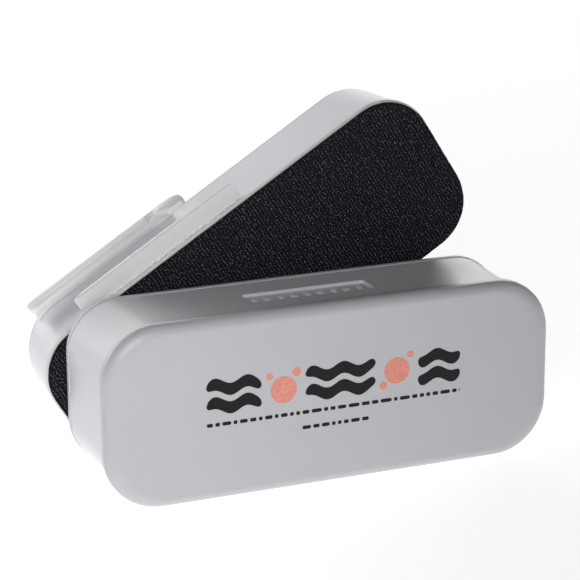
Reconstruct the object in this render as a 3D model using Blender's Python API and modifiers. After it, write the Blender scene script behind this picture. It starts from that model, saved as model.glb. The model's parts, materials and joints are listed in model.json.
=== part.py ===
"""Magnetic glass cleaner: a handle half and a floating scrubber half.

The two halves clamp a pane of glass between them by magnets.  All sizes are in metres.  Each
half is drawn in its own frame: X along its length, Z up across its width, and Y through its
depth, with the handle's mating plane at Y = 0 and the float half on the +Y side of it.
"""

import bpy
import bmesh
from math import cos, sin, pi, radians
from mathutils import Vector

MM = 0.001
GAP = 0.3 * MM                    # air left between pieces that touch
ARC_STEPS = 9                     # facets in one corner arc

# Handle half
LENGTH = 133.0 * MM
HANDLE_HEIGHT = 52.3 * MM
HANDLE_FRONT_Y = -36.2 * MM
HANDLE_CREASE_Y = -31.0 * MM
HANDLE_CORNER = 16.0 * MM
HANDLE_FILLET = 3.4 * MM
CAP_OVERHANG = 1.2 * MM           # the cap's rim stands this far over the waist
MATING_HEIGHT = 48.8 * MM
BACK_PLATE_THICK = 2.0 * MM
FELT_THICK = 1.4 * MM
FILM_THICK = 0.25 * MM            # adhesive film
WALL = 2.2 * MM

# Float half
PAD_Y = 2.55 * MM                 # scrubbing face
PAD_THICK = 0.65 * MM
BASE_Y = 4.0 * MM
BASE_THICK = 1.4 * MM
FLOAT_BASE_LENGTH = 134.5 * MM
FLOAT_BASE_HEIGHT = 50.3 * MM
FLOAT_BACK_LENGTH = 131.4 * MM
FLOAT_BACK_HEIGHT = 50.6 * MM
FLOAT_SEAM_Y = 26.5 * MM          # where the outer cap closes the body
FLOAT_BACK_Y = 28.4 * MM
FLOAT_WALL = 1.6 * MM

# Magnets
MAGNET_OFFSET = 39.5 * MM         # from the middle of each half
HANDLE_MAGNET = (17.0 * MM, 8.0 * MM)
FLOAT_MAGNET = (15.0 * MM, 5.0 * MM)
MAGNET_PLAY = 0.4 * MM            # radial room in the carrier

# Scraper rails on the float's side
FRONT_RAIL_Y = 5.75 * MM
FRONT_RAIL_FOOT = 25.25 * MM
FRONT_RAIL_TOP = 30.6 * MM
REAR_LIP_Y = 19.7 * MM
REAR_RAIL_Y = 26.1 * MM
REAR_RAIL_FOOT = 25.55 * MM
REAR_RAIL_TOP = 30.1 * MM
RAIL_WALL = 1.6 * MM
LIP_THICK = 1.6 * MM

# Pose
FLOAT_PIVOT = (-40.2 * MM, 0.0 * MM)   # the float's left magnet, X and Z in the handle's frame
FLOAT_SWING = 31.85                     # degrees, free end up
STANCE_ROLL = 3.52                      # degrees about Y: the float's low corner props this end
STANCE_TILT = -2.665                    # degrees about X: back edge down


def clear_scene():
    for old in list(bpy.data.objects):
        bpy.data.objects.remove(old, do_unlink=True)


def new_collection(name):
    group = bpy.data.collections.new(name)
    bpy.context.scene.collection.children.link(group)
    return group


def material(name, colour, rough, metal=0.0):
    mat = bpy.data.materials.new(name)
    mat.use_nodes = True
    shader = mat.node_tree.nodes["Principled BSDF"]
    shader.inputs["Base Color"].default_value = (*colour, 1.0)
    shader.inputs["Roughness"].default_value = rough
    shader.inputs["Metallic"].default_value = metal
    return mat


def empty(name, parent, location=(0, 0, 0), rotation=(0, 0, 0)):
    pivot = bpy.data.objects.new(name, None)
    pivot.parent = parent
    pivot.location = location
    pivot.rotation_euler = rotation
    PARTS.objects.link(pivot)
    return pivot


def rounded_rectangle(width, height, radius, steps=ARC_STEPS):
    """Corner points of a rounded rectangle, counter-clockwise with X right and Z up."""
    points = []
    corners = ((1, 1, 0), (-1, 1, 90), (-1, -1, 180), (1, -1, 270))
    for sign_x, sign_z, start in corners:
        centre_x = sign_x * (width / 2 - radius)
        centre_z = sign_z * (height / 2 - radius)
        for step in range(steps + 1):
            angle = radians(start + 90 * step / steps)
            points.append((centre_x + radius * cos(angle), centre_z + radius * sin(angle)))
    return points


def place(name, data, parent, mat, offset):
    piece = bpy.data.objects.new(name, data)
    data.materials.append(mat)
    piece.parent = parent
    piece.location = (offset, 0, 0)
    PARTS.objects.link(piece)
    return piece


def skin(name, sections, closed_front, closed_back):
    """Mesh lofted through rounded rectangles (y, width, height, radius), y increasing."""
    mesh = bpy.data.meshes.new(name)
    build = bmesh.new()
    rings = []
    for y, width, height, radius in sections:
        outline = rounded_rectangle(width, height, radius)
        rings.append([build.verts.new((x, y, z)) for x, z in outline])
    count = len(rings[0])
    for front, back in zip(rings, rings[1:]):
        for i in range(count):
            j = (i + 1) % count
            build.faces.new((front[i], back[i], back[j], front[j]))
    if closed_front:
        build.faces.new(rings[0])
    if closed_back:
        build.faces.new(rings[-1][::-1])
    build.to_mesh(mesh)
    build.free()
    mesh.shade_smooth()
    mesh.set_sharp_from_angle(angle=radians(35))
    return mesh


def shell(piece, thickness):
    solid = piece.modifiers.new("wall", "SOLIDIFY")
    solid.thickness = thickness
    solid.offset = -1
    solid.use_even_offset = True
    return piece


def plate_curve(name, outlines, y_front, y_back, rounding=0.0):
    """Flat plate between two Y planes from 2D outlines; inner outlines are holes."""
    curve = bpy.data.curves.new(name, "CURVE")
    curve.dimensions = "2D"
    curve.fill_mode = "BOTH"
    curve.extrude = (y_back - y_front) / 2 - rounding
    curve.bevel_depth = rounding
    curve.bevel_resolution = 1
    curve.offset = -rounding
    for outline in outlines:
        spline = curve.splines.new("POLY")
        spline.points.add(len(outline) - 1)
        for point, (x, z) in zip(spline.points, outline):
            point.co = (x, z, 0, 1)
        spline.use_cyclic_u = True
    return curve


def plate(name, outlines, y_front, y_back, parent, mat, offset=0.0, rounding=0.0):
    curve = plate_curve(name, outlines, y_front, y_back, rounding)
    piece = place(name, curve, parent, mat, offset)
    piece.location.y = (y_front + y_back) / 2
    piece.rotation_euler = (radians(90), 0, 0)
    return piece


def circle(x, z, radius, steps=48):
    turn = 2 * pi / steps
    return [(x + radius * cos(turn * i), z + radius * sin(turn * i)) for i in range(steps)]


def disc(name, size, y_front, parent, mat, x):
    """Round magnet with its axis along Y and its origin on that axis."""
    radius, thick = size
    mesh = bpy.data.meshes.new(name)
    build = bmesh.new()
    bmesh.ops.create_cone(build, cap_ends=True, segments=48, radius1=radius, radius2=radius,
                          depth=thick)
    build.to_mesh(mesh)
    build.free()
    mesh.shade_smooth()
    mesh.set_sharp_from_angle(angle=radians(35))
    magnet = place(name, mesh, parent, mat, x)
    magnet.location.y = y_front + thick / 2
    magnet.rotation_euler = (radians(90), 0, 0)
    bevel = magnet.modifiers.new("edge", "BEVEL")
    bevel.width = 0.4 * MM
    bevel.segments = 1
    bevel.limit_method = "ANGLE"
    return magnet


def box_mesh(name, low, high):
    mesh = bpy.data.meshes.new(name)
    build = bmesh.new()
    bmesh.ops.create_cube(build, size=1.0)
    for vert in build.verts:
        for axis in range(3):
            middle = (low[axis] + high[axis]) / 2
            vert.co[axis] = middle + vert.co[axis] * (high[axis] - low[axis])
    build.to_mesh(mesh)
    build.free()
    return mesh


def tool(name, data, parent, offset=0.0):
    """Helper solid for a Boolean, kept out of the part."""
    helper = bpy.data.objects.new(name, data)
    helper.parent = parent
    helper.location = (offset, 0, 0)
    helper.display_type = "WIRE"
    helper.hide_render = True
    CUTTERS.objects.link(helper)
    return helper


def combine(piece, helper, operation):
    boolean = piece.modifiers.new(helper.name, "BOOLEAN")
    boolean.operation = operation
    boolean.solver = "EXACT"
    boolean.object = helper


def extruded(name, outline, low, high, plane):
    """Closed prism: an outline in the XZ plane pushed along Y, or in the XY plane along Z."""
    mesh = bpy.data.meshes.new(name)
    build = bmesh.new()
    if plane == "XZ":
        corners = [build.verts.new((u, low, v)) for u, v in outline]
        reach = Vector((0, high - low, 0))
    else:
        corners = [build.verts.new((u, v, low)) for u, v in outline]
        reach = Vector((0, 0, high - low))
    face = build.faces.new(corners)
    pushed = bmesh.ops.extrude_face_region(build, geom=[face])
    moved = [item for item in pushed["geom"] if isinstance(item, bmesh.types.BMVert)]
    bmesh.ops.translate(build, verts=moved, vec=reach)
    bmesh.ops.recalc_face_normals(build, faces=build.faces)
    build.to_mesh(mesh)
    build.free()
    return mesh


def arc(x, z, radius, start, end, steps=6):
    """Points on an arc about (x, z), angles in degrees."""
    span = [radians(start + (end - start) * i / steps) for i in range(steps + 1)]
    return [(x + radius * cos(angle), z + radius * sin(angle)) for angle in span]


def cap_sections(crease_y, face_y, length, height, corner, fillet, rim):
    """Rim, wall and rounded edge of a cap, from its crease to its flat face."""
    outward = 1 if face_y > crease_y else -1
    rows = []
    if rim:
        rows.append((crease_y, length - 2 * rim, height - 2 * rim, corner - rim))
        rows.append((crease_y + outward * rim, length, height, corner))
    for step in range(6):
        angle = radians(90 * step / 5)
        inset = fillet * (1 - cos(angle))
        y = face_y - outward * fillet * (1 - sin(angle))
        rows.append((y, length - 2 * inset, height - 2 * inset, corner - inset))
    return rows if outward > 0 else rows[::-1]


def body_sections(front, back, sag, steps=6):
    """Sections between two rounded rectangles, drawn in by a shallow hollow between them."""
    rows = []
    for step in range(steps + 1):
        t = step / steps
        hollow = 2 * sag * sin(pi * t)
        row = [a + (b - a) * t for a, b in zip(front, back)]
        rows.append((row[0], row[1] - hollow, row[2] - hollow, row[3] - hollow / 2))
    return rows


def build_handle(root):
    waist = (LENGTH - 2 * CAP_OVERHANG, HANDLE_HEIGHT - 2 * CAP_OVERHANG,
             HANDLE_CORNER - CAP_OVERHANG)
    mating = (LENGTH - 0.4 * MM, MATING_HEIGHT - 0.4 * MM, 14.5 * MM)
    plate_back = 0.0
    plate_front = -BACK_PLATE_THICK

    sections = cap_sections(HANDLE_CREASE_Y, HANDLE_FRONT_Y, LENGTH, HANDLE_HEIGHT,
                            HANDLE_CORNER, HANDLE_FILLET, 0.3 * MM)
    cap = place("handle_front_cap", skin("handle_front_cap", sections, True, False), root,
                material("handle_cap_white", (0.62, 0.62, 0.66), 0.28), 0)
    shell(cap, WALL)

    sections = body_sections((HANDLE_CREASE_Y + GAP, *waist), (plate_front - GAP, *mating),
                             0.35 * MM)
    body = place("handle_body", skin("handle_body", sections, False, False), root,
                 material("handle_body_white", (0.6, 0.6, 0.64), 0.3), 0)
    shell(body, WALL)
    cut_panel(body, root)

    plate("handle_back_plate", [rounded_rectangle(LENGTH, MATING_HEIGHT, 14.6 * MM)],
          plate_front, plate_back, root, material("handle_plate_white", (0.6, 0.6, 0.62), 0.35),
          rounding=0.3 * MM)

    film_front = plate_back + GAP
    felt_front = film_front + FILM_THICK + GAP
    outline = rounded_rectangle(LENGTH - 5 * MM, MATING_HEIGHT - 5 * MM, 12.1 * MM)
    plate("handle_felt_adhesive", [outline], film_front, film_front + FILM_THICK, root,
          material("handle_adhesive", (0.5, 0.48, 0.42), 0.5))
    plate("handle_felt_pad", [outline], felt_front, felt_front + FELT_THICK, root,
          material("handle_felt", (0.05, 0.05, 0.07), 0.95))

    radius, thick = HANDLE_MAGNET
    front = plate_front - GAP - thick
    steel = material("handle_magnet_nickel", (0.7, 0.7, 0.7), 0.3, 1.0)
    for name, side in (("handle_magnet_left", -1), ("handle_magnet_right", 1)):
        disc(name, HANDLE_MAGNET, front, root, steel, side * MAGNET_OFFSET)
    holes = [circle(side * MAGNET_OFFSET, 0, radius + MAGNET_PLAY) for side in (-1, 1)]
    carrier = rounded_rectangle(LENGTH - 7 * MM, MATING_HEIGHT - 7 * MM, 11 * MM)
    plate("handle_magnet_carrier", [carrier, *holes], front + 2 * MM, plate_front - GAP, root,
          material("handle_carrier_grey", (0.3, 0.3, 0.32), 0.5))
    keeper_back = front - GAP
    plate("handle_keeper_plate", [rounded_rectangle(112 * MM, 32 * MM, 6 * MM)],
          keeper_back - 2 * MM, keeper_back, root,
          material("handle_keeper_steel", (0.5, 0.5, 0.5), 0.35, 1.0))


def cut_panel(body, root):
    """Shallow panel in the handle's upper side, with a row of raised plain ovals."""
    half_length = 18.5 * MM
    front_y = -20.3 * MM
    back_y = -12.0 * MM
    floor_z = 23.3 * MM
    outline = []
    for x, y, start in ((half_length, back_y, 0), (-half_length, back_y, 90),
                        (-half_length, front_y, 180), (half_length, front_y, 270)):
        pull_x = -1 if x > 0 else 1
        pull_y = -1 if y == back_y else 1
        outline += arc(x + pull_x * MM, y + pull_y * MM, 1 * MM, start, start + 90, 4)
    pocket = extruded("panel_cutter", outline, floor_z, 27 * MM, "XY")
    combine(body, tool("panel_cutter", pocket, root), "DIFFERENCE")
    middle_y = (front_y + back_y) / 2
    for index in range(9):
        middle = (index - 4) * 4 * MM
        half_width = 1.35 * MM if index % 2 else 0.95 * MM
        oval = [(middle + half_width * cos(step * pi / 8), middle_y + 2.1 * MM * sin(step * pi / 8))
                for step in range(16)]
        name = f"panel_oval_{index + 1}"
        raised = extruded(name, oval, floor_z - 0.5 * MM, floor_z + 0.5 * MM, "XY")
        combine(body, tool(name, raised, root), "UNION")


def build_float(root, pivot_magnet_root):
    base_corner = 15.0 * MM
    back = (FLOAT_BACK_LENGTH, FLOAT_BACK_HEIGHT, HANDLE_CORNER)
    foot = (FLOAT_BASE_LENGTH - 0.8 * MM, FLOAT_BASE_HEIGHT - 0.6 * MM, base_corner - 0.3 * MM)
    x = MAGNET_OFFSET

    outline = rounded_rectangle(FLOAT_BASE_LENGTH - 1 * MM, FLOAT_BASE_HEIGHT - 1 * MM, 14.5 * MM)
    plate("scrub_pad", [outline], PAD_Y, PAD_Y + PAD_THICK, root,
          material("scrub_pad_black", (0.012, 0.01, 0.016), 0.9), x)
    film_back = BASE_Y - GAP
    plate("scrub_pad_backing", [outline], film_back - FILM_THICK, film_back, root,
          material("scrub_backing_grey", (0.2, 0.2, 0.22), 0.6), x)

    base_back = BASE_Y + BASE_THICK
    outline = rounded_rectangle(FLOAT_BASE_LENGTH, FLOAT_BASE_HEIGHT, base_corner)
    plate("float_base_plate", [outline], BASE_Y, base_back, root,
          material("float_base_white", (0.72, 0.72, 0.7), 0.4), x, rounding=0.25 * MM)

    sections = body_sections((base_back + GAP, *foot), (FLOAT_SEAM_Y - GAP, *back), 0.0)
    body = place("float_body", skin("float_body", sections, False, False), root,
                 material("float_body_white", (0.8, 0.8, 0.8), 0.35), x)
    shell(body, FLOAT_WALL)

    sections = cap_sections(FLOAT_SEAM_Y, FLOAT_BACK_Y, *back, FLOAT_BACK_Y - FLOAT_SEAM_Y, 0.0)
    cap = place("float_outer_cap", skin("float_outer_cap", sections, False, True), root,
                material("float_cap_white", (0.8, 0.8, 0.8), 0.32), x)
    shell(cap, FLOAT_WALL)

    radius, thick = FLOAT_MAGNET
    front = base_back + GAP
    nickel = material("float_magnet_nickel", (0.7, 0.7, 0.7), 0.3, 1.0)
    disc("float_magnet_left", FLOAT_MAGNET, front, pivot_magnet_root, nickel, 0)
    disc("float_magnet_right", FLOAT_MAGNET, front, root, nickel, 2 * MAGNET_OFFSET)
    holes = [circle(side * MAGNET_OFFSET, 0, radius + MAGNET_PLAY) for side in (-1, 1)]
    carrier = rounded_rectangle(FLOAT_BASE_LENGTH - 7 * MM, FLOAT_BASE_HEIGHT - 7 * MM, 11 * MM)
    plate("float_magnet_carrier", [carrier, *holes], front, front + 3 * MM, root,
          material("float_carrier_grey", (0.4, 0.4, 0.42), 0.5), x)
    keeper_front = front + thick + GAP
    plate("float_keeper_plate", [rounded_rectangle(96 * MM, 24 * MM, 5 * MM)],
          keeper_front, keeper_front + 1.2 * MM, root,
          material("float_keeper_steel", (0.5, 0.5, 0.5), 0.35, 1.0), x)

    build_front_rail(root, x)
    build_rear_rail(root, x)


def build_front_rail(root, x):
    """Wall along the pad's edge, with a lip turned towards the channel along most of it."""
    start = -45.9 * MM
    end = 10.2 * MM
    lip_end = -3.0 * MM
    back_y = FRONT_RAIL_Y + RAIL_WALL
    top = FRONT_RAIL_TOP
    wall = [(start + 0.3 * MM, FRONT_RAIL_FOOT), (end, FRONT_RAIL_FOOT)]
    wall += arc(end - 1.9 * MM, top - 1.5 * MM, 1.5 * MM, 10, 90)
    wall += arc(start + 1.3 * MM, top - 1.3 * MM, 1.3 * MM, 90, 180)
    mesh = extruded("scraper_rail_front", wall, FRONT_RAIL_Y, back_y, "XZ")
    rail = place("scraper_rail_front", mesh, root,
                 material("rail_front_cream", (0.68, 0.68, 0.64), 0.4), x)
    inner = back_y - 0.5 * MM
    reach = back_y + 0.7 * MM
    lip = [(start + 1.4 * MM, inner), (lip_end + 2 * MM, inner), (lip_end, reach)]
    lip += [(start + 2 * MM, reach)]
    lip_mesh = extruded("front_rail_lip", lip, top - 1.2 * MM, top - 0.05 * MM, "XY")
    combine(rail, tool("front_rail_lip", lip_mesh, root, x), "UNION")


def build_rear_rail(root, x):
    """Post with a wide lip over the channel, notched short of its hooked end tab."""
    start = -56.6 * MM
    lip_end = -13.9 * MM
    tab_toe = -8.3 * MM
    tab_end = -2.1 * MM
    top = REAR_RAIL_TOP
    low = top - LIP_THICK
    inner = REAR_RAIL_Y - 0.3 * MM
    corner_x = -(FLOAT_BACK_LENGTH / 2 - HANDLE_CORNER)
    corner_z = REAR_RAIL_FOOT - HANDLE_CORNER
    post = arc(corner_x, corner_z, HANDLE_CORNER, 114, 90)
    post += [(tab_end - 4.5 * MM, REAR_RAIL_FOOT), (tab_end - 4.5 * MM, top - 0.1 * MM)]
    post += arc(start + 2.2 * MM, top - 2.1 * MM, 2 * MM, 90, 180)
    mesh = extruded("scraper_rail_rear", post, REAR_RAIL_Y - RAIL_WALL, REAR_RAIL_Y, "XZ")
    rail = place("scraper_rail_rear", mesh, root,
                 material("rail_rear_cream", (0.7, 0.7, 0.67), 0.4), x)

    lip = [(lip_end, REAR_LIP_Y), (lip_end, inner), (start + 2.2 * MM, inner)]
    lip += arc(start + 2.2 * MM, inner - 2.2 * MM, 2.2 * MM, 90, 180)
    lip += arc(start + 2.2 * MM, REAR_LIP_Y + 2.2 * MM, 2.2 * MM, 180, 270)
    bridge = [(lip_end - 1 * MM, REAR_LIP_Y + 3.3 * MM), (tab_toe + MM, REAR_LIP_Y + 3.3 * MM),
              (tab_toe + MM, inner), (lip_end - 1 * MM, inner)]
    tab = [(tab_toe, REAR_LIP_Y - 1 * MM), (tab_end - 1 * MM, REAR_LIP_Y - 1.1 * MM)]
    tab += [(tab_end, REAR_LIP_Y + 0.2 * MM)]
    tab += arc(tab_end - 3.4 * MM, inner - 3.5 * MM, 3.4 * MM, 0, 90)
    tab += [(tab_toe - 2.4 * MM, inner), (tab_toe - 3.2 * MM, REAR_LIP_Y + 3.2 * MM)]
    tab += [(tab_toe - 2 * MM, REAR_LIP_Y + 2.5 * MM), (tab_toe - 0.9 * MM, REAR_LIP_Y + 0.8 * MM)]
    drop = 0.5 * MM
    for name, outline, sink in (("rear_rail_lip", lip, 0), ("rear_rail_bridge", bridge, drop),
                                ("rear_rail_tab", tab, 0)):
        part = extruded(name, outline, low + sink / 2, top - sink, "XY")
        combine(rail, tool(name, part, root, x), "UNION")
    ridge_y = REAR_LIP_Y + 2.1 * MM
    ridge = box_mesh("rear_rail_ridge", (start + 4 * MM, ridge_y, low + 0.3 * MM),
                     (lip_end - 0.8 * MM, ridge_y + 0.5 * MM, top + 0.15 * MM))
    combine(rail, tool("rear_rail_ridge", ridge, root, x), "UNION")


def stand_on_floor(stance):
    """Shift the part so that its lowest point is at Z = 0 and its box is centred on the origin."""
    bpy.context.view_layer.update()
    graph = bpy.context.evaluated_depsgraph_get()
    corners = []
    for piece in PARTS.objects:
        if piece.type == "EMPTY":
            continue
        solid = piece.evaluated_get(graph)
        corners += [solid.matrix_world @ vert.co for vert in solid.to_mesh().vertices]
        solid.to_mesh_clear()
    low = [min(corner[axis] for corner in corners) for axis in range(3)]
    high = [max(corner[axis] for corner in corners) for axis in range(3)]
    stance.location = (-(low[0] + high[0]) / 2, -(low[1] + high[1]) / 2, -low[2])


clear_scene()
PARTS = new_collection("magnetic_glass_cleaner")
CUTTERS = new_collection("cutters")
STANCE = empty("stance", None, rotation=(radians(STANCE_TILT), radians(STANCE_ROLL), 0))
HANDLE = empty("handle_half", STANCE)
PIVOT = empty("pivot_magnet", STANCE, (FLOAT_PIVOT[0], 0, FLOAT_PIVOT[1]))
FLOAT = empty("float_half", PIVOT, rotation=(0, -radians(FLOAT_SWING), 0))
build_handle(HANDLE)
build_float(FLOAT, PIVOT)
stand_on_floor(STANCE)
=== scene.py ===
"""Looks of the magnetic glass cleaner: its shells, rails, scrubbing pad and felt, lit on a floor."""

import bpy
import bmesh
import json
import math
import random
from math import cos, sin, pi, radians
from mathutils import Euler, Matrix, Vector, noise


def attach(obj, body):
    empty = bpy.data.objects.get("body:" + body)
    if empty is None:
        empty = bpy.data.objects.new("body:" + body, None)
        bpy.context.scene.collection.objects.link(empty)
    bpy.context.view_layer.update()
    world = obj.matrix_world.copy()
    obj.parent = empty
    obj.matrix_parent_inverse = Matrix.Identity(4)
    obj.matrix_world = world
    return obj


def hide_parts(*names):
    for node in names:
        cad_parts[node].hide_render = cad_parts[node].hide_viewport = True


MM = 0.001

# Stance of the resting part, and the swing of the float half
STANCE_ROLL = 3.52
STANCE_TILT = -2.665
FLOAT_SWING = 31.85
PIVOT_X = -40.2 * MM
MAGNET_OFFSET = 39.5 * MM

# Handle half
LENGTH = 133.0 * MM
HANDLE_HEIGHT = 52.3 * MM
HANDLE_FRONT_Y = -36.2 * MM
HANDLE_CREASE_Y = -31.0 * MM
CORNER = 16.0 * MM
CAP_OVERHANG = 1.2 * MM
MATING_HEIGHT = 48.8 * MM
MATING_CORNER = 14.6 * MM
CAP_FILLET = 3.0 * MM
CAP_RIM = 0.35 * MM
CAP_END_PULL = 1.9
PLATE_THICK = 2.0 * MM
PANEL_X = 18.5 * MM
PANEL_FRONT_Y = -20.3 * MM
PANEL_BACK_Y = -12.0 * MM
PANEL_FLOOR_Z = 23.3 * MM
FELT_FRONT_Y = 0.85 * MM
FELT_THICK = 1.4 * MM
FELT_INSET = 5 * MM
WALL = 2.2 * MM
GAP = 0.3 * MM

# Float half
PAD_Y = 2.55 * MM
PAD_THICK = 0.65 * MM
BASE_Y = 4.0 * MM
BASE_THICK = 1.4 * MM
BASE_LENGTH = 134.5 * MM
BASE_HEIGHT = 50.3 * MM
PAD_LENGTH = BASE_LENGTH - 1 * MM
PAD_HEIGHT = BASE_HEIGHT - 1 * MM
PAD_CORNER = 14.5 * MM
CLOTH_FRONT_Y = PAD_Y + 0.45 * MM
FLOAT_BACK_LENGTH = 131.4 * MM
FLOAT_BACK_HEIGHT = 50.6 * MM
FLOAT_SEAM_Y = 26.5 * MM
FLOAT_BACK_Y = 28.4 * MM
FLOAT_WALL = 1.6 * MM
SEAM = 0.06 * MM

# Scraper rails
FRONT_RAIL_Y = 5.75 * MM
FRONT_RAIL_FOOT = 25.25 * MM
FRONT_RAIL_TOP = 30.6 * MM
REAR_LIP_Y = 19.7 * MM
REAR_RAIL_Y = 26.1 * MM
REAR_RAIL_FOOT = 25.55 * MM
REAR_RAIL_TOP = 30.1 * MM
RAIL_WALL = 1.6 * MM
LIP_THICK = 1.6 * MM

# Studio light
BACK_WATTS = 23
LEFT_WATTS = 0.4
FILL_WATTS = 0.125
FILL_SPREAD = 80
FLOOR_GLOW = 0.66

# Camera, in the handle's frame
VIEW_AZIMUTH = -21.773
VIEW_ELEVATION = 17.228
VIEW_ROLL = -0.394
VIEW_TARGET = Vector((1.012 * MM, 0, 19.859 * MM))
VIEW_DISTANCE = 670.74 * MM
LENS = 144.49

random.seed(7)
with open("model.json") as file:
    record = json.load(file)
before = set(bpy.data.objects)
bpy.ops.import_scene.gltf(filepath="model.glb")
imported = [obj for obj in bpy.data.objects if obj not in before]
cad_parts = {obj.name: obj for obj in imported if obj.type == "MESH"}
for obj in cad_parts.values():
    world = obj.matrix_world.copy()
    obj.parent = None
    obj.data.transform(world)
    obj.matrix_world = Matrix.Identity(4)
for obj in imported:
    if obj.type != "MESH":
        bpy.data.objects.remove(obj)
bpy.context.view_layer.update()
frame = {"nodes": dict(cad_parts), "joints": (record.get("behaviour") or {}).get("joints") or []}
joints = {joint["name"]: joint for joint in frame["joints"]}

STANCE = Euler((radians(STANCE_TILT), radians(STANCE_ROLL), 0)).to_matrix().to_4x4()
pivot = Vector(joints["swing"]["pos_m"])
HANDLE = Matrix.Translation(pivot - STANCE.to_3x3() @ Vector((PIVOT_X, 0, 0))) @ STANCE
FLOAT = (Matrix.Translation(pivot) @ STANCE @ Matrix.Rotation(-radians(FLOAT_SWING), 4, "Y")
         @ Matrix.Translation((MAGNET_OFFSET, 0, 0)))


# ---------------------------------------------------------------- materials

class Nodes:
    """Small helper that adds and links the nodes of one material."""

    def __init__(self, name):
        self.material = bpy.data.materials.new(name)
        self.material.use_nodes = True
        self.tree = self.material.node_tree
        self.shader = self.tree.nodes["Principled BSDF"]
        self.coords = self.tree.nodes.new("ShaderNodeTexCoord")

    def add(self, kind, **settings):
        node = self.tree.nodes.new(kind)
        for key, value in settings.items():
            setattr(node, key, value)
        return node

    def link(self, output, socket):
        self.tree.links.new(output, socket)

    def noise(self, scale, detail=3.0, rough=0.5, stretch=(1, 1, 1)):
        mapping = self.add("ShaderNodeMapping")
        mapping.inputs["Scale"].default_value = stretch
        self.link(self.coords.outputs["Object"], mapping.inputs["Vector"])
        grain = self.add("ShaderNodeTexNoise")
        grain.inputs["Scale"].default_value = scale
        grain.inputs["Detail"].default_value = detail
        grain.inputs["Roughness"].default_value = rough
        self.link(mapping.outputs["Vector"], grain.inputs["Vector"])
        return grain.outputs["Fac"]

    def ramp(self, fac, stops):
        ramp = self.add("ShaderNodeValToRGB")
        for index, (place, colour) in enumerate(stops):
            if index < 2:
                stop = ramp.color_ramp.elements[index]
                stop.position = place
            else:
                stop = ramp.color_ramp.elements.new(place)
            stop.color = (*colour, 1.0)
        self.link(fac, ramp.inputs["Fac"])
        return ramp.outputs["Color"]

    def spread(self, fac, low, high):
        """Map a 0..1 texture value to a range."""
        mapped = self.add("ShaderNodeMapRange")
        mapped.inputs["From Min"].default_value = 0.3
        mapped.inputs["From Max"].default_value = 0.7
        mapped.inputs["To Min"].default_value = low
        mapped.inputs["To Max"].default_value = high
        self.link(fac, mapped.inputs["Value"])
        return mapped.outputs["Result"]

    def bump(self, height, strength, distance, below=None):
        bump = self.add("ShaderNodeBump")
        bump.inputs["Strength"].default_value = strength
        bump.inputs["Distance"].default_value = distance
        self.link(height, bump.inputs["Height"])
        if below:
            self.link(below, bump.inputs["Normal"])
        return bump.outputs["Normal"]

    def set(self, **values):
        for key, value in values.items():
            self.shader.inputs[key.replace("_", " ")].default_value = value


def tinted(colour, amount):
    """Colour made lighter or darker."""
    return tuple(min(1.0, max(0.0, channel * amount)) for channel in colour)


def moulded_plastic(name, colour, rough, coat=0.0, grain=0.25):
    """Injection-moulded plastic: faint flow mottling, fine grain, slow change of gloss."""
    mat = Nodes(name)
    mottled = mat.noise(38.0, 4.0, 0.55, (1, 1, 1.6))
    mat.link(mat.ramp(mottled, [(0.3, tinted(colour, 0.985)), (0.7, tinted(colour, 1.01))]),
             mat.shader.inputs["Base Color"])
    worn = mat.noise(22.0, 1.0)
    mat.link(mat.spread(worn, rough * 0.94, rough * 1.1), mat.shader.inputs["Roughness"])
    micro = mat.bump(mat.noise(1600.0, 1.0), grain, 0.00001)
    mat.link(micro, mat.shader.inputs["Normal"])
    mat.set(IOR=1.49, Coat_Weight=coat, Coat_Roughness=0.08)
    return mat.material


def printed_ink(name, colour):
    """Pad-printed ink with pinholes and a slightly duller surface."""
    mat = Nodes(name)
    speckle = mat.noise(2600.0, 2.0)
    mat.link(mat.ramp(speckle, [(0.35, tinted(colour, 0.8)), (0.7, tinted(colour, 1.15))]),
             mat.shader.inputs["Base Color"])
    mat.link(mat.spread(mat.noise(400.0), 0.3, 0.42), mat.shader.inputs["Roughness"])
    mat.link(mat.bump(speckle, 0.15, 0.00002), mat.shader.inputs["Normal"])
    mat.set(Specular_IOR_Level=0.25)
    return mat.material


def nylon_hook(name):
    """Black nylon of the hooks: shiny, with lighter purple-grey patches painted into the colour as
    highlights.
    """
    mat = Nodes(name)
    painted_glint_and_gloss = mat.noise(900.0, 3.0, 0.6)
    # Painted highlight: the lighter purple-grey stops paint glints into the black base colour; the
    # same noise also varies the gloss.
    mat.link(mat.ramp(painted_glint_and_gloss, [(0.35, (0.02, 0.017, 0.026)), (0.55, (0.1, 0.09, 0.12)),
                               (0.72, (0.26, 0.235, 0.29))]),
             mat.shader.inputs["Base Color"])
    mat.link(mat.spread(painted_glint_and_gloss, 0.3, 0.55), mat.shader.inputs["Roughness"])
    mat.link(mat.bump(mat.noise(9000.0), 0.3, 0.00002), mat.shader.inputs["Normal"])
    mat.set(IOR=1.53, Sheen_Weight=0.2, Sheen_Roughness=0.4)
    return mat.material


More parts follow.
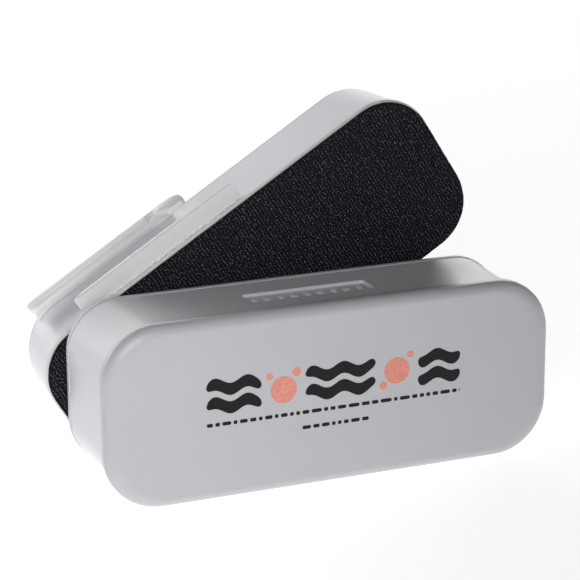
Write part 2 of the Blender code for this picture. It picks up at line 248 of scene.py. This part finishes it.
def woven_ground(name, colour, pitch, turn):
    """Knitted ground cloth: two crossed sets of fine ridges and loose fibre noise."""
    mat = Nodes(name)
    mapping = mat.add("ShaderNodeMapping")
    mapping.inputs["Rotation"].default_value = turn
    mat.link(mat.coords.outputs["Object"], mapping.inputs["Vector"])
    bands = []
    for axis in ("X", "Z"):
        wave = mat.add("ShaderNodeTexWave", bands_direction=axis)
        wave.inputs["Scale"].default_value = 1.0 / pitch / 3.3
        wave.inputs["Distortion"].default_value = 1.2
        wave.inputs["Detail"].default_value = 2.0
        mat.link(mapping.outputs["Vector"], wave.inputs["Vector"])
        bands.append(wave.outputs["Fac"])
    knit = mat.add("ShaderNodeMath", operation="MULTIPLY")
    mat.link(bands[0], knit.inputs[0])
    mat.link(bands[1], knit.inputs[1])
    fluff = mat.noise(3000.0, 4.0, 0.7)
    mat.link(mat.ramp(fluff, [(0.3, tinted(colour, 0.6)), (0.7, tinted(colour, 1.5))]),
             mat.shader.inputs["Base Color"])
    mat.link(mat.spread(fluff, 0.75, 0.95), mat.shader.inputs["Roughness"])
    fibre = mat.bump(fluff, 0.5, 0.0001)
    mat.link(mat.bump(knit.outputs["Value"], 0.7, 0.0003, fibre), mat.shader.inputs["Normal"])
    mat.set(Specular_IOR_Level=0.15)
    return mat.material


def pressed_felt(name, colour):
    """Dense pressed felt: matted fibres in two sizes."""
    mat = Nodes(name)
    matted = mat.noise(1400.0, 5.0, 0.7, (1, 1, 2.2))
    mat.link(mat.ramp(matted, [(0.3, tinted(colour, 0.55)), (0.72, tinted(colour, 1.7))]),
             mat.shader.inputs["Base Color"])
    mat.link(mat.spread(matted, 0.85, 1.0), mat.shader.inputs["Roughness"])
    coarse = mat.bump(mat.noise(500.0, 3.0), 0.35, 0.0002)
    mat.link(mat.bump(matted, 0.8, 0.00015, coarse), mat.shader.inputs["Normal"])
    mat.set(Sheen_Weight=0.35, Sheen_Roughness=0.5)
    return mat.material


def plated_metal(name, colour, rough):
    """Nickel plating or bare steel with fine handling scratches."""
    mat = Nodes(name)
    scratches = mat.noise(500.0, 4.0, 0.6, (8, 1, 1))
    mat.link(mat.ramp(scratches, [(0.3, tinted(colour, 0.85)), (0.7, tinted(colour, 1.08))]),
             mat.shader.inputs["Base Color"])
    mat.link(mat.spread(scratches, rough * 0.7, rough * 1.5), mat.shader.inputs["Roughness"])
    mat.link(mat.bump(scratches, 0.12, 0.00005), mat.shader.inputs["Normal"])
    mat.set(Metallic=1.0)
    return mat.material


def paint(piece, mat):
    """Give the whole piece one material."""
    piece.data.materials.clear()
    piece.data.materials.append(mat)
    for face in piece.data.polygons:
        face.material_index = 0


# ---------------------------------------------------------------- mesh helpers

def add_piece(name, mesh, matrix, mat):
    """New object with this mesh, place and material."""
    piece = bpy.data.objects.new(name, mesh)
    bpy.context.scene.collection.objects.link(piece)
    piece.matrix_world = matrix
    if mat:
        paint(piece, mat)
    return piece


def bake_modifiers(piece):
    """Replace the piece's mesh by what its modifiers make of it."""
    bpy.context.view_layer.update()
    graph = bpy.context.evaluated_depsgraph_get()
    piece_mesh = bpy.data.meshes.new_from_object(piece.evaluated_get(graph))
    piece.modifiers.clear()
    piece.data = piece_mesh
    return piece_mesh


def settle(piece, body, slot, *nodes):
    """Bake the piece into the shared frame and put it on its body in place of its CAD nodes."""
    mesh = bake_modifiers(piece)
    mesh.name = piece.name
    mesh.transform(piece.matrix_world)
    piece.matrix_world = Matrix.Identity(4)
    smooth(mesh)
    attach(piece, body)
    if nodes:
        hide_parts(*nodes)


def smooth(mesh, angle=35):
    """Shade smoothly, keeping edges sharper than angle."""
    mesh.shade_smooth()
    mesh.set_sharp_from_angle(angle=radians(angle))


def rounded_rectangle(width, height, radius, steps):
    """Counter-clockwise outline with X right and Z up."""
    points = []
    for sign_x, sign_z, start in ((1, 1, 0), (-1, 1, 90), (-1, -1, 180), (1, -1, 270)):
        centre_x = sign_x * (width / 2 - radius)
        centre_z = sign_z * (height / 2 - radius)
        for step in range(steps + 1):
            angle = radians(start + 90 * step / steps)
            points.append((centre_x + radius * cos(angle), centre_z + radius * sin(angle)))
    return points


def skin(name, sections, closed_front, closed_back, steps=20):
    """Surface lofted through rounded rectangles (y, width, height, radius), y increasing."""
    mesh = bpy.data.meshes.new(name)
    build = bmesh.new()
    rings = []
    for y, width, height, radius in sections:
        outline = rounded_rectangle(width, height, radius, steps)
        rings.append([build.verts.new((x, y, z)) for x, z in outline])
    count = len(rings[0])
    for front, back in zip(rings, rings[1:]):
        for i in range(count):
            j = (i + 1) % count
            build.faces.new((front[i], back[i], back[j], front[j]))
    if closed_front:
        build.faces.new(rings[0])
    if closed_back:
        build.faces.new(rings[-1][::-1])
    build.to_mesh(mesh)
    build.free()
    smooth(mesh)
    return mesh


def shell(piece, thickness):
    """Give an open surface a wall, inwards."""
    solid = piece.modifiers.new("wall", "SOLIDIFY")
    solid.thickness = thickness
    solid.offset = -1
    solid.use_even_offset = True


def cap_sections(crease_y, face_y, length, height, fillet, rim, end_pull=1.0, steps=12):
    """Rolled rim, wall and rounded edge of a cap, its ends drawn in by end_pull, by rising Y."""
    outward = 1 if face_y > crease_y else -1
    rows = []
    for step in range(4):
        angle = radians(90 * step / 3)
        inset = rim * (1 - sin(angle))
        rows.append((crease_y + outward * rim * (1 - cos(angle)), length - 2 * inset,
                     height - 2 * inset, CORNER - inset))
    for step in range(steps):
        angle = radians(90 * step / (steps - 1))
        inset = fillet * (1 - cos(angle))
        rows.append((face_y - outward * fillet * (1 - sin(angle)), length - 2 * inset * end_pull,
                     height - 2 * inset, CORNER - inset))
    return rows if outward > 0 else rows[::-1]


def body_sections(front, back, sag, steps=12):
    """Sections between two rounded rectangles, drawn in by a shallow hollow between them."""
    rows = []
    for step in range(steps + 1):
        t = step / steps
        hollow = 2 * sag * sin(pi * t)
        row = [a + (b - a) * t for a, b in zip(front, back)]
        rows.append((row[0], row[1] - hollow, row[2] - hollow, row[3] - hollow / 2))
    return rows


def slab_sections(y_front, y_back, width, height, radius, rounding, steps=4):
    """Flat plate with both of its edges rounded."""
    rows = []
    for y, toward in ((y_front, 1), (y_back, -1)):
        half = []
        for step in range(steps + 1):
            angle = radians(90 * step / steps)
            inset = rounding * (1 - sin(angle))
            half.append((y + toward * rounding * (1 - cos(angle)), width - 2 * inset,
                         height - 2 * inset, radius - inset))
        rows += half if toward > 0 else half[::-1]
    return rows


def extruded(name, outline, low, high, plane):
    """Closed prism: an outline in the XZ plane pushed along Y, or in the XY plane along Z."""
    mesh = bpy.data.meshes.new(name)
    build = bmesh.new()
    if plane == "XZ":
        corners = [build.verts.new((u, low, v)) for u, v in outline]
        reach = Vector((0, high - low, 0))
    else:
        corners = [build.verts.new((u, v, low)) for u, v in outline]
        reach = Vector((0, 0, high - low))
    face = build.faces.new(corners)
    pushed = bmesh.ops.extrude_face_region(build, geom=[face])
    moved = [item for item in pushed["geom"] if isinstance(item, bmesh.types.BMVert)]
    bmesh.ops.translate(build, verts=moved, vec=reach)
    bmesh.ops.recalc_face_normals(build, faces=build.faces)
    build.to_mesh(mesh)
    build.free()
    return mesh


def arc(x, z, radius, start, end, steps=10):
    """Points on a circle, angles in degrees."""
    span = [radians(start + (end - start) * i / steps) for i in range(steps + 1)]
    return [(x + radius * cos(angle), z + radius * sin(angle)) for angle in span]


def bevelled(piece, width, segments=3, angle=30):
    """Round the piece's edges."""
    bevel = piece.modifiers.new("edge", "BEVEL")
    bevel.width = width
    bevel.segments = segments
    bevel.limit_method = "ANGLE"
    bevel.angle_limit = radians(angle)
    bevel.harden_normals = True


def joined(name, meshes, matrix):
    """One object made of several closed solids by Boolean union."""
    base = add_piece(name, meshes[0], matrix, None)
    helpers = []
    for mesh in meshes[1:]:
        helper = add_piece(mesh.name, mesh, matrix, None)
        union = base.modifiers.new(mesh.name, "BOOLEAN")
        union.operation = "UNION"
        union.solver = "EXACT"
        union.object = helper
        helpers.append(helper)
    bake_modifiers(base)
    for helper in helpers:
        bpy.data.objects.remove(helper)
    return base


# ---------------------------------------------------------------- handle half

def handle_cap():
    """Front cap of the handle: rolled rim, wall and rounded face edge."""
    sections = cap_sections(HANDLE_CREASE_Y, HANDLE_FRONT_Y, LENGTH, HANDLE_HEIGHT,
                            CAP_FILLET, CAP_RIM, CAP_END_PULL)
    mesh = skin("handle_cap_moulding", sections, True, False)
    # Painted shade: the cap gets a darker copy of the body's white plastic, standing in for the
    # shade on the front face.
    piece = add_piece("handle_cap_moulding", mesh, HANDLE,
                      moulded_plastic("cap_plastic", (0.56, 0.555, 0.583), 0.3))
    shell(piece, WALL)
    settle(piece, "handle_half", "handle_cap_white", "handle_front_cap")


def handle_body():
    """Waisted wall of the handle between the cap and the mating plate."""
    waist = (LENGTH - 2 * CAP_OVERHANG, HANDLE_HEIGHT - 2 * CAP_OVERHANG, CORNER - CAP_OVERHANG)
    mating = (LENGTH - 0.4 * MM, MATING_HEIGHT - 0.4 * MM, 14.5 * MM)
    sections = body_sections((HANDLE_CREASE_Y + GAP, *waist), (-PLATE_THICK - SEAM, *mating),
                             0.35 * MM)
    mesh = skin("handle_body_moulding", sections, False, False)
    piece = add_piece("handle_body_moulding", mesh, HANDLE,
                      moulded_plastic("body_plastic", (0.74, 0.74, 0.78), 0.31))
    shell(piece, WALL)
    bake_modifiers(piece)
    cut_panel(piece)
    settle(piece, "handle_half", "handle_body_white", "handle_body")


def cut_panel(body):
    """Recessed panel in the upper side, its walls drafted outwards."""
    outline = []
    for x, y, start in ((PANEL_X, PANEL_BACK_Y, 0), (-PANEL_X, PANEL_BACK_Y, 90),
                        (-PANEL_X, PANEL_FRONT_Y, 180), (PANEL_X, PANEL_FRONT_Y, 270)):
        pull_x = -1 if x > 0 else 1
        pull_y = -1 if y == PANEL_BACK_Y else 1
        outline += arc(x + pull_x * MM, y + pull_y * MM, MM, start, start + 90, 5)
    mesh = extruded("panel_cutter", outline, PANEL_FLOOR_Z, 25.5 * MM, "XY")
    for vert in mesh.vertices:
        if vert.co.z > 25 * MM:
            vert.co.x *= 1.03
            vert.co.y += 0.35 * MM if vert.co.y > -16 * MM else -0.35 * MM
    cutter = add_piece("panel_cutter", mesh, HANDLE, None)
    cut = body.modifiers.new("panel", "BOOLEAN")
    cut.operation = "DIFFERENCE"
    cut.solver = "EXACT"
    cut.object = cutter
    bake_modifiers(body)
    bpy.data.objects.remove(cutter)
    smooth(body.data)


def panel_marks():
    """Plain raised ovals of two widths on the panel's floor."""
    build = bmesh.new()
    middle_y = (PANEL_FRONT_Y + PANEL_BACK_Y) / 2
    for index in range(9):
        half = 1.35 * MM if index % 2 else 0.95 * MM
        spot = Matrix.Translation(((index - 4) * 4 * MM, middle_y, PANEL_FLOOR_Z - 0.05 * MM))
        size = Matrix.Diagonal((half, 2.1 * MM, 0.7 * MM, 1))
        bmesh.ops.create_uvsphere(build, u_segments=24, v_segments=12, radius=1,
                                  matrix=spot @ size)
    mesh = bpy.data.meshes.new("panel_ovals")
    build.to_mesh(mesh)
    build.free()
    mesh.shade_smooth()
    # Painted highlight: the raised ovals are real, but they get a lighter copy of the body's plastic
    # so that they read as bright marks.
    piece = add_piece("panel_ovals", mesh, HANDLE,
                      moulded_plastic("panel_plastic_painted_highlight", (0.78, 0.78, 0.81), 0.31))
    settle(piece, "handle_half", "handle_body_white")


def ribbon(start, end, middle, half, sway, length):
    """Outline of a wavy ribbon with rounded ends."""
    upper = []
    lower = []
    steps = 60
    for step in range(steps + 1):
        t = step / steps
        x = start + (end - start) * t
        z = middle + sway * sin(2 * pi * x / length)
        reach = half * max(1 - abs(2 * t - 1) ** 9, 0.02) ** 0.5
        upper.append((x, z + reach))
        lower.append((x, z - reach))
    return upper + lower[::-1]


def ink_piece(name, outlines, mat):
    """Thin layer of ink on the front face, one closed film for each outline."""
    build = bmesh.new()
    for outline in outlines:
        build.from_mesh(extruded(name, outline, HANDLE_FRONT_Y - 0.04 * MM,
                                 HANDLE_FRONT_Y + 0.01 * MM, "XZ"))
    mesh = bpy.data.meshes.new(name)
    build.to_mesh(mesh)
    build.free()
    settle(add_piece(name, mesh, HANDLE, mat), "handle_half", "handle_cap_white")


def front_print():
    """Plain wave bands, bubbles and rows of dashes printed on the front face."""
    black = printed_ink("ink_black", (0.006, 0.006, 0.007))
    coral = printed_ink("ink_coral", (0.86, 0.33, 0.26))
    bands = []
    for start, end in ((-38, -22), (-9, 12), (25, 38)):
        for middle, half in ((6.9, 1.75), (1.6, 1.75)):
            bands.append(ribbon(start * MM, end * MM, middle * MM, half * MM, 0.9 * MM, 9.5 * MM))
    ink_piece("print_waves", bands, black)
    spots = ((-15.5, 3.6, 3.9), (-11.6, 8.3, 1.3), (-19.6, 7.9, 1.0), (18.5, 4.6, 3.9),
             (22.6, 8.9, 1.0), (14.4, 0.7, 1.2))
    ink_piece("print_bubbles", [arc(x * MM, z * MM, size * MM, 0, 350, 35)
                                for x, z, size in spots], coral)
    dashes = []
    for low, left, right in ((-4.1, -38, 38), (-8.6, -10, 10)):
        x = left
        while x < right:
            wide = random.uniform(0.9, 3.4)
            z = low + 0.3
            dashes.append(ribbon(x * MM, min(x + wide, right) * MM, z * MM, 0.52 * MM, 0, MM))
            x += wide + 0.75
    ink_piece("print_dashes", dashes, black)


def handle_plate():
    """Flat plate that closes the handle's mating side."""
    sections = slab_sections(-PLATE_THICK, 0, LENGTH, MATING_HEIGHT, MATING_CORNER,
                             0.35 * MM)
    mesh = skin("handle_mating_plate", sections, True, True)
    piece = add_piece("handle_mating_plate", mesh, HANDLE,
                      moulded_plastic("plate_plastic", (0.66, 0.66, 0.69), 0.36))
    settle(piece, "handle_half", "handle_plate_white", "handle_back_plate")


def fray(mesh, amount):
    """Make the cut edge of a sheet of cloth slightly uneven."""
    build = bmesh.new()
    build.from_mesh(mesh)
    edges = [edge for edge in build.edges if edge.calc_length() > 3 * MM]
    bmesh.ops.subdivide_edges(build, edges=edges, cuts=60, use_grid_fill=True)
    for vert in build.verts:
        sway = noise.noise(vert.co * 900) * amount
        outward = Vector((vert.co.x, 0, vert.co.z)).normalized()
        vert.co += outward * sway
    build.to_mesh(mesh)
    build.free()


def handle_felt():
    """Felt sheet with a matted face and a slightly uneven cut edge."""
    sections = slab_sections(FELT_FRONT_Y, FELT_FRONT_Y + FELT_THICK, LENGTH - FELT_INSET,
                             MATING_HEIGHT - FELT_INSET, 12.1 * MM, 0.15 * MM, 2)
    mesh = skin("handle_felt_sheet", sections, True, True, 24)
    fray(mesh, 0.06 * MM)
    piece = add_piece("handle_felt_sheet", mesh, HANDLE,
                      pressed_felt("felt_charcoal", (0.05, 0.05, 0.075)))
    settle(piece, "handle_half", "handle_felt", "handle_felt_pad")


# ---------------------------------------------------------------- float half

def float_base():
    """Rim plate round the scrubbing cloth."""
    sections = slab_sections(BASE_Y, BASE_Y + BASE_THICK, BASE_LENGTH, BASE_HEIGHT, 15 * MM,
                             0.3 * MM)
    piece = add_piece("float_rim_plate", skin("float_rim_plate", sections, True, True), FLOAT,
                      moulded_plastic("rim_plastic", (0.84, 0.84, 0.82), 0.42, grain=0.8))
    settle(piece, "float_half", "float_base_white", "float_base_plate")


def float_body():
    """Wall of the float between the rim plate and the outer cap."""
    foot = (BASE_LENGTH - 0.8 * MM, BASE_HEIGHT - 0.6 * MM, 14.7 * MM)
    back = (FLOAT_BACK_LENGTH, FLOAT_BACK_HEIGHT, CORNER)
    sections = body_sections((BASE_Y + BASE_THICK + GAP, *foot), (FLOAT_SEAM_Y - SEAM, *back), 0)
    piece = add_piece("float_body_moulding", skin("float_body_moulding", sections, False, False),
                      FLOAT, moulded_plastic("float_plastic", (0.9, 0.905, 0.95), 0.34))
    shell(piece, FLOAT_WALL)
    settle(piece, "float_half", "float_body_white", "float_body")


def float_cap():
    """Outer cap of the float, flush with its body."""
    sections = cap_sections(FLOAT_SEAM_Y + SEAM, FLOAT_BACK_Y, FLOAT_BACK_LENGTH,
                            FLOAT_BACK_HEIGHT, 1.7 * MM, 0.08 * MM)
    # Painted shade: the outer cap gets a darker copy of the float body's plastic, keeping it from
    # washing out under the back light.
    piece = add_piece("float_cap_moulding", skin("float_cap_moulding", sections, False, True),
                      FLOAT, moulded_plastic("float_cap_plastic", (0.64, 0.645, 0.68), 0.34))
    shell(piece, FLOAT_WALL)
    settle(piece, "float_half", "float_cap_white", "float_outer_cap")


def inside_pad(x, z, margin):
    """True where (x, z) lies on the pad, at least margin from its edge."""
    core_x = max(abs(x) - (PAD_LENGTH / 2 - PAD_CORNER), 0)
    core_z = max(abs(z) - (PAD_HEIGHT / 2 - PAD_CORNER), 0)
    return math.hypot(core_x, core_z) < PAD_CORNER - margin


def pad_cloth():
    """Ground cloth of the scrubbing pad."""
    sections = slab_sections(CLOTH_FRONT_Y, PAD_Y + PAD_THICK, PAD_LENGTH, PAD_HEIGHT, PAD_CORNER,
                             0.3 * MM)
    mesh = skin("scrub_pad_cloth", sections, True, True, 24)
    fray(mesh, 0.16 * MM)
    piece = add_piece("scrub_pad_cloth", mesh, FLOAT,
                      woven_ground("pad_ground", (0.012, 0.010, 0.015), 0.5 * MM,
                                   FLOAT.to_3x3().inverted().to_euler()))
    settle(piece, "float_half", "scrub_pad_black", "scrub_pad")


def pad_loops():
    """Rows of small nylon hooks across the pad, each a bent three-sided strand."""
    row_pitch = 0.98 * MM
    hook_pitch = 0.86 * MM
    height = CLOTH_FRONT_Y - PAD_Y
    strand = 0.14 * MM
    vertices = []
    faces = []
    rows = int(PAD_LENGTH / row_pitch)
    hooks = int(PAD_HEIGHT / hook_pitch)
    for row in range(rows + 1):
        lean = 1 if row % 2 else -1
        for hook in range(hooks + 1):
            x = (row - rows / 2) * row_pitch + random.uniform(-0.16, 0.16) * MM
            z = (hook - hooks / 2 + 0.5 * (row % 2)) * hook_pitch + random.uniform(-0.2, 0.2) * MM
            if not inside_pad(x, z, 0.35 * MM):
                continue
            turn = random.uniform(-0.8, 0.8)
            rise = height * random.uniform(0.75, 1.0)
            reach = random.uniform(0.35, 0.6) * MM * lean
            path = [(0, -0.15), (0.05, 0.6), (0.45, 0.98), (1.0, 0.7)]
            start = len(vertices)
            for along, up in path:
                for side in range(3):
                    angle = 2 * pi * side / 3
                    offset = strand * cos(angle)
                    dz = reach * along * cos(turn) + offset * 0.3
                    dx = reach * along * sin(turn) + strand * sin(angle)
                    y = CLOTH_FRONT_Y - rise * up + offset * (0.9 if up > 0.9 else 0.2)
                    vertices.append((x + dx, max(y, PAD_Y + 0.02 * MM), z + dz))
            for level in range(len(path) - 1):
                for side in range(3):
                    a = start + level * 3 + side
                    b = start + level * 3 + (side + 1) % 3
                    faces.append((a, b, b + 3, a + 3))
            top = start + (len(path) - 1) * 3
            faces.append((top, top + 1, top + 2))
            faces.append((start + 2, start + 1, start))
    mesh = bpy.data.meshes.new("scrub_pad_hooks")
    mesh.from_pydata(vertices, [], faces)
    build = bmesh.new()
    build.from_mesh(mesh)
    bmesh.ops.recalc_face_normals(build, faces=build.faces)
    build.to_mesh(mesh)
    build.free()
    mesh.shade_smooth()
    piece = add_piece("scrub_pad_hooks", mesh, FLOAT, nylon_hook("pad_nylon"))
    settle(piece, "float_half", "scrub_pad_black")


def front_rail():
    """Front scraper rail: a wall with a short lip turned back at its top."""
    start = -45.9 * MM
    end = 10.2 * MM
    lip_end = -3.0 * MM
    back_y = FRONT_RAIL_Y + RAIL_WALL
    top = FRONT_RAIL_TOP
    inner = back_y - 0.5 * MM
    reach = back_y + 0.7 * MM
    foot = FRONT_RAIL_FOOT - 0.4 * MM
    wall = [(start + 0.3 * MM, foot), (end, foot)]
    wall += arc(end - 1.9 * MM, top - 1.5 * MM, 1.5 * MM, 10, 90)
    wall += arc(start + 1.3 * MM, top - 1.3 * MM, 1.3 * MM, 90, 180)
    lip = [(start + 1.4 * MM, inner), (lip_end + 2 * MM, inner), (lip_end, reach),
           (start + 2 * MM, reach)]
    meshes = [extruded("rail_front_moulding", wall, FRONT_RAIL_Y, back_y, "XZ"),
              extruded("rail_front_lip", lip, top - 1.2 * MM, top - 0.05 * MM, "XY")]
    piece = joined("rail_front_moulding", meshes, FLOAT)
    bevelled(piece, 0.3 * MM)
    paint(piece, moulded_plastic("rail_front_plastic", (0.95, 0.947, 0.94), 0.42))
    settle(piece, "float_half", "rail_front_cream", "scraper_rail_front")


def weld_seam():
    """Bead of melted plastic, with uneven drops on it, along the foot of the front rail."""
    build = bmesh.new()
    lie = Matrix.Translation((-18.2 * MM, FRONT_RAIL_Y, FRONT_RAIL_FOOT + 0.12 * MM))
    bmesh.ops.create_cone(build, cap_ends=True, segments=16, radius1=0.24 * MM,
                          radius2=0.24 * MM, depth=53.6 * MM,
                          matrix=lie @ Matrix.Rotation(radians(90), 4, "Y"))
    x = -45 * MM
    while x < 9.4 * MM:
        length = random.uniform(0.35, 1.1) * MM
        high = random.uniform(0.26, 0.36) * MM
        size = Matrix.Diagonal((length, 0.36 * MM, high, 1))
        spot = Matrix.Translation((x + length, FRONT_RAIL_Y - 0.02 * MM,
                                   FRONT_RAIL_FOOT - 0.12 * MM))
        bmesh.ops.create_icosphere(build, subdivisions=2, radius=1, matrix=spot @ size)
        x += 2 * length + random.uniform(0.1, 0.9) * MM
    mesh = bpy.data.meshes.new("rail_weld_beads")
    build.to_mesh(mesh)
    build.free()
    mesh.shade_smooth()
    piece = add_piece("rail_weld_beads", mesh, FLOAT,
                      moulded_plastic("weld_plastic", (0.95, 0.95, 0.96), 0.18, 0.5))
    settle(piece, "float_half", "rail_front_cream")


def rear_rail():
    """Rear scraper rail: a post wall, a forward lip, a notch and a hooked end tab."""
    start = -56.6 * MM
    lip_end = -13.9 * MM
    toe = -8.3 * MM
    end = -2.1 * MM
    top = REAR_RAIL_TOP
    low = top - LIP_THICK
    inner = REAR_RAIL_Y - 0.3 * MM
    corner_x = -(FLOAT_BACK_LENGTH / 2 - CORNER)
    post = arc(corner_x, REAR_RAIL_FOOT - CORNER, CORNER, 114, 90)
    post += [(end - 4.5 * MM, REAR_RAIL_FOOT), (end - 4.5 * MM, top - 0.1 * MM)]
    post += arc(start + 3.4 * MM, top - 2.1 * MM, 2 * MM, 90, 180)
    lip = [(lip_end, REAR_LIP_Y), (lip_end, inner), (start + 2.2 * MM, inner)]
    lip += arc(start + 2.2 * MM, inner - 2.2 * MM, 2.2 * MM, 90, 180)
    lip += arc(start + 2.2 * MM, REAR_LIP_Y + 2.2 * MM, 2.2 * MM, 180, 270)
    bridge = [(lip_end - 1 * MM, REAR_LIP_Y + 3.3 * MM), (toe + MM, REAR_LIP_Y + 3.3 * MM),
              (toe + MM, inner), (lip_end - 1 * MM, inner)]
    tab = [(toe, REAR_LIP_Y - 1 * MM), (end - 1 * MM, REAR_LIP_Y - 1.1 * MM),
           (end, REAR_LIP_Y + 0.2 * MM)]
    tab += arc(end - 3.4 * MM, inner - 3.5 * MM, 3.4 * MM, 0, 90)
    tab += [(toe - 2.4 * MM, inner), (toe - 3.2 * MM, REAR_LIP_Y + 3.2 * MM),
            (toe - 2 * MM, REAR_LIP_Y + 2.5 * MM), (toe - 0.9 * MM, REAR_LIP_Y + 0.8 * MM)]
    ridge = [(start + 4 * MM, REAR_LIP_Y + 1.5 * MM), (lip_end - 0.8 * MM, REAR_LIP_Y + 1.5 * MM),
             (lip_end - 0.8 * MM, REAR_LIP_Y + 3 * MM), (start + 4 * MM, REAR_LIP_Y + 3 * MM)]
    meshes = [extruded("rail_rear_moulding", post, REAR_RAIL_Y - RAIL_WALL, REAR_RAIL_Y, "XZ"),
              extruded("rail_rear_lip", lip, low, top, "XY"),
              extruded("rail_rear_bridge", bridge, low + 0.25 * MM, top - 0.5 * MM, "XY"),
              extruded("rail_rear_tab", tab, low, top, "XY"),
              extruded("rail_rear_ridge", ridge, low + 0.3 * MM, top + 0.09 * MM, "XY")]
    piece = joined("rail_rear_moulding", meshes, FLOAT)
    bevelled(piece, 0.32 * MM)
    paint(piece, moulded_plastic("rail_rear_plastic", (0.93, 0.925, 0.915), 0.42))
    settle(piece, "float_half", "rail_rear_cream", "scraper_rail_rear")


def inner_parts():
    """Materials for the pieces that sit inside the shells or show only as thin edges."""
    nodes = frame["nodes"]
    nickel = plated_metal("nickel", (0.72, 0.70, 0.66), 0.24)
    steel = plated_metal("keeper_steel", (0.5, 0.5, 0.51), 0.35)
    carrier = moulded_plastic("carrier_plastic", (0.32, 0.32, 0.34), 0.5)
    film = moulded_plastic("adhesive_film", (0.4, 0.38, 0.33), 0.55)
    looks = {"magnet_left": nickel, "magnet_right": nickel, "magnet_carrier": carrier,
             "keeper_plate": steel}
    for half in ("handle", "float"):
        for part, mat in looks.items():
            paint(nodes[f"{half}_{part}"], mat)
    paint(nodes["handle_felt_adhesive"], film)
    paint(nodes["scrub_pad_backing"], film)


# ---------------------------------------------------------------- stage

def floor():
    """Plain pale paper floor."""
    mesh = bpy.data.meshes.new("floor")
    mesh.from_pydata([(-4, -4, 0), (4, -4, 0), (4, 4, 0), (-4, 4, 0)], [], [(0, 1, 2, 3)])
    mat = Nodes("floor_paper")
    mat.link(mat.ramp(mat.noise(6.0), [(0.3, (0.9, 0.9, 0.9)), (0.7, (0.92, 0.92, 0.92))]),
             mat.shader.inputs["Base Color"])
    mat.set(Roughness=0.9, Emission_Color=(1, 1, 1, 1), Emission_Strength=FLOOR_GLOW)
    add_piece("floor", mesh, Matrix.Identity(4), mat.material)


def area_light(name, place, aim, size, power):
    """Rectangular softbox at place, facing aim."""
    lamp = bpy.data.lights.new(name, "AREA")
    lamp.shape = "RECTANGLE"
    lamp.size, lamp.size_y = size
    lamp.energy = power
    light = bpy.data.objects.new(name, lamp)
    bpy.context.scene.collection.objects.link(light)
    light.location = place
    light.rotation_euler = (Vector(aim) - Vector(place)).to_track_quat("-Z", "Y").to_euler()
    return light


def studio():
    """Soft surroundings, a back light, a weak left light and a narrow fill."""
    world = bpy.data.worlds.new("studio")
    bpy.context.scene.world = world
    world.use_nodes = True
    tree = world.node_tree
    sky = tree.nodes["Background"]
    split = tree.nodes.new("ShaderNodeSeparateXYZ")
    tree.links.new(tree.nodes.new("ShaderNodeTexCoord").outputs["Generated"],
                   split.inputs["Vector"])
    fade = tree.nodes.new("ShaderNodeValToRGB")
    for stop, place, level in zip(fade.color_ramp.elements, (0.05, 0.7), (0.26, 0.07)):
        stop.position = place
        stop.color = (level * 0.97, level * 0.98, level, 1)
    tree.links.new(split.outputs["Z"], fade.inputs["Fac"])
    tree.links.new(fade.outputs["Color"], sky.inputs["Color"])
    area_light("back_softbox", (0, 1.6, 0.5), (0, 0, 0.03), (3.4, 1.0), BACK_WATTS)
    area_light("left_softbox", (-1.5, -0.2, 0.5), (0, 0, 0.03), (1.3, 0.9), LEFT_WATTS)
    fill = area_light("near_fill", (-0.15, -0.3, 0.2), (-0.075, 0, 0.035), (0.2, 0.2),
                      FILL_WATTS)
    fill.data.spread = radians(FILL_SPREAD)
    bpy.context.scene.view_settings.view_transform = "Standard"


def camera():
    """Camera at the resting part's three-quarter view."""
    azimuth = radians(VIEW_AZIMUTH)
    elevation = radians(VIEW_ELEVATION)
    roll = radians(VIEW_ROLL)
    toward = Vector((-sin(azimuth) * cos(elevation), cos(azimuth) * cos(elevation),
                     -sin(elevation)))
    right = toward.cross(Vector((0, 0, 1))).normalized()
    up = right.cross(toward)
    across = cos(roll) * right + sin(roll) * up
    above = -sin(roll) * right + cos(roll) * up
    lens = bpy.data.cameras.new("camera")
    lens.lens = LENS
    lens.sensor_width = 36.0
    view = bpy.data.objects.new("camera", lens)
    bpy.context.scene.collection.objects.link(view)
    pose = Matrix((across, above, -toward)).transposed().to_4x4()
    pose.translation = VIEW_TARGET - toward * VIEW_DISTANCE
    view.matrix_world = HANDLE @ pose
    bpy.context.scene.camera = view


camera()
handle_cap()
front_print()
handle_body()
panel_marks()
handle_plate()
handle_felt()
float_base()
float_body()
float_cap()
pad_cloth()
pad_loops()
front_rail()
weld_seam()
rear_rail()
inner_parts()
floor()
studio()
